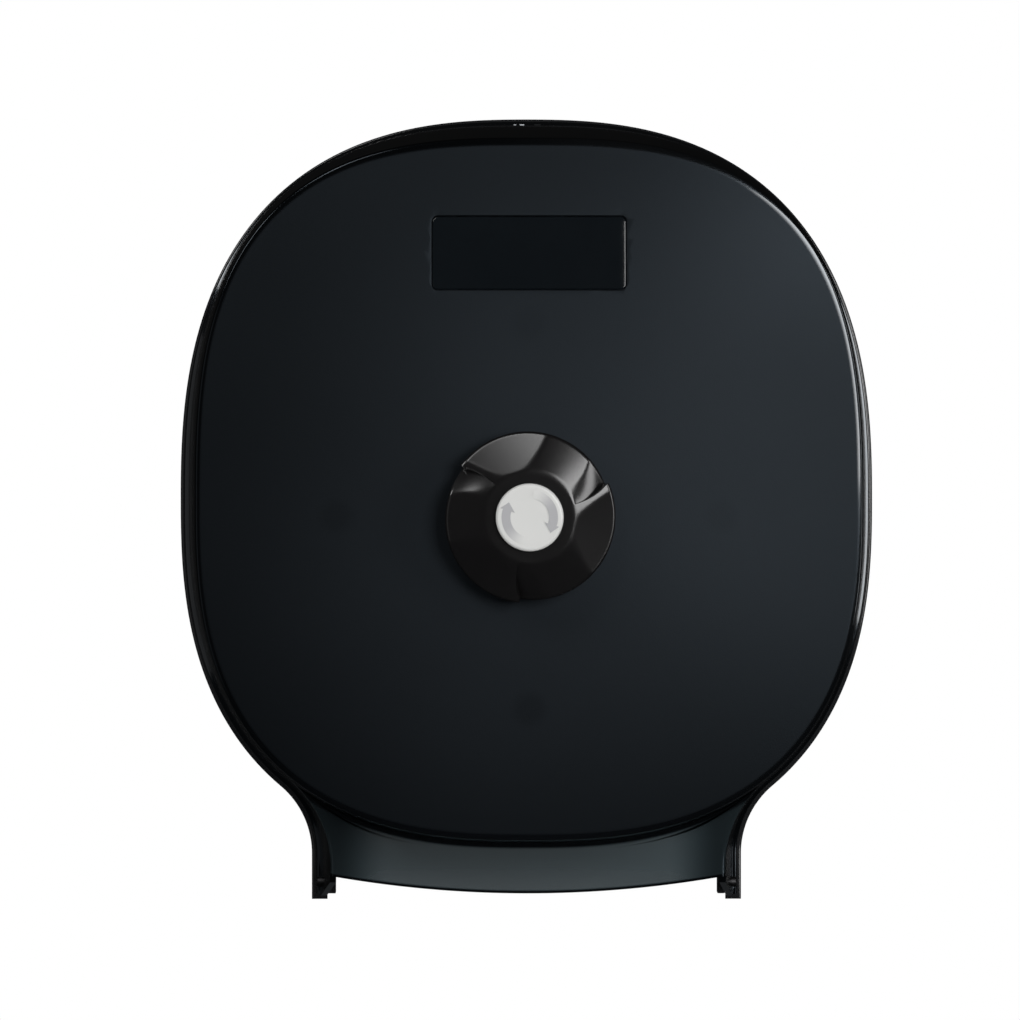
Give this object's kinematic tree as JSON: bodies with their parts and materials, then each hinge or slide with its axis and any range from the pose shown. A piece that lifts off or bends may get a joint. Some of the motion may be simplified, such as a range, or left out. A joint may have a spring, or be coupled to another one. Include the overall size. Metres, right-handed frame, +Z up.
{
  "type": "carousel toilet roll dispenser",
  "caption": "Wall-mounted toilet tissue dispenser: a hinged, smoked, rounded cover with a turning knob over a carousel of roll spindles.",
  "frame": {"origin": "centre of the wall-screw pattern on the wall plane, which is the carousel's axis", "axes": "+Z up, front faces -Y, the wall is the plane y = 0, +X to the right seen from the front"},
  "size_m": [0.2984, 0.175, 0.3365],
  "materials": {
    "smoked_cover": "satin smoked translucent face, glossy rim",
    "back_moulding": "fine matte",
    "carousel_moulding": "matte",
    "spindle_moulding": "satin",
    "acetal": "satin",
    "plated_steel": "bright zinc",
    "lock_metal": "polished",
    "badge_gloss": "gloss",
    "knob_gloss": "high gloss",
    "button_white": "satin gloss",
    "arrow_grey": "printed"
  },
  "bodies": {
    "base": {"back_plate": "back_moulding", "strike_bracket": "plated_steel", "strike_screws": "plated_steel", "axle": "plated_steel", "axle_screw": "plated_steel", "thrust_washer": "plated_steel", "wave_washer": "plated_steel", "axle_clip": "plated_steel", "hinge_pin_left": "plated_steel", "hinge_pin_right": "plated_steel"},
    "carousel": {"carousel_arms": "carousel_moulding", "rear_bush": "acetal", "front_bush": "acetal", "driven_coupling": "acetal", "spindle_pins": "plated_steel", "spindle_clips": "plated_steel"},
    "spindle_top": {"roll_spindle_top": "spindle_moulding"},
    "spindle_right": {"roll_spindle_right": "spindle_moulding"},
    "spindle_bottom": {"roll_spindle_bottom": "spindle_moulding"},
    "spindle_left": {"roll_spindle_left": "spindle_moulding"},
    "cover": {"front_cover": "smoked_cover", "badge_panel": "badge_gloss", "lock_body": "lock_metal", "lock_nut": "plated_steel", "knob_washer": "plated_steel"},
    "knob": {"knob_body": "knob_gloss", "knob_button": "button_white", "knob_arrows": "arrow_grey", "drive_dog": "acetal", "knob_screw": "plated_steel"},
    "lock": {"lock_plug": "lock_metal", "lock_cam": "plated_steel", "lock_cam_screw": "plated_steel"}
  },
  "joints": [
    {"name": "cover_hinge", "type": "hinge", "parent": "base", "child": "cover", "pos_m": [0, -0.011, -0.16], "axis": [1, 0, 0], "range_deg": [0, 90]},
    {"name": "carousel_turn", "type": "hinge", "parent": "base", "child": "carousel", "pos_m": [0, 0, 0], "axis": [0, 1, 0], "continuous": true},
    {"name": "spindle_top_spin", "type": "hinge", "parent": "carousel", "child": "spindle_top", "pos_m": [0, -0.06, 0.082], "axis": [0, 1, 0], "continuous": true},
    {"name": "spindle_right_spin", "type": "hinge", "parent": "carousel", "child": "spindle_right", "pos_m": [0.082, -0.06, 0], "axis": [0, 1, 0], "continuous": true},
    {"name": "spindle_bottom_spin", "type": "hinge", "parent": "carousel", "child": "spindle_bottom", "pos_m": [0, -0.06, -0.082], "axis": [0, 1, 0], "continuous": true},
    {"name": "spindle_left_spin", "type": "hinge", "parent": "carousel", "child": "spindle_left", "pos_m": [-0.082, -0.06, 0], "axis": [0, 1, 0], "continuous": true},
    {"name": "knob_turn", "type": "hinge", "parent": "cover", "child": "knob", "pos_m": [0, -0.16, 0], "axis": [0, 1, 0], "continuous": true},
    {"name": "lock_turn", "type": "hinge", "parent": "cover", "child": "lock", "pos_m": [0, -0.026, 0.155], "axis": [0, 0, -1], "range_deg": [0, 90]}
  ],
  "couplings": [
    {"joint": "knob_turn", "follows": "carousel_turn", "ratio": 1}
  ]
}
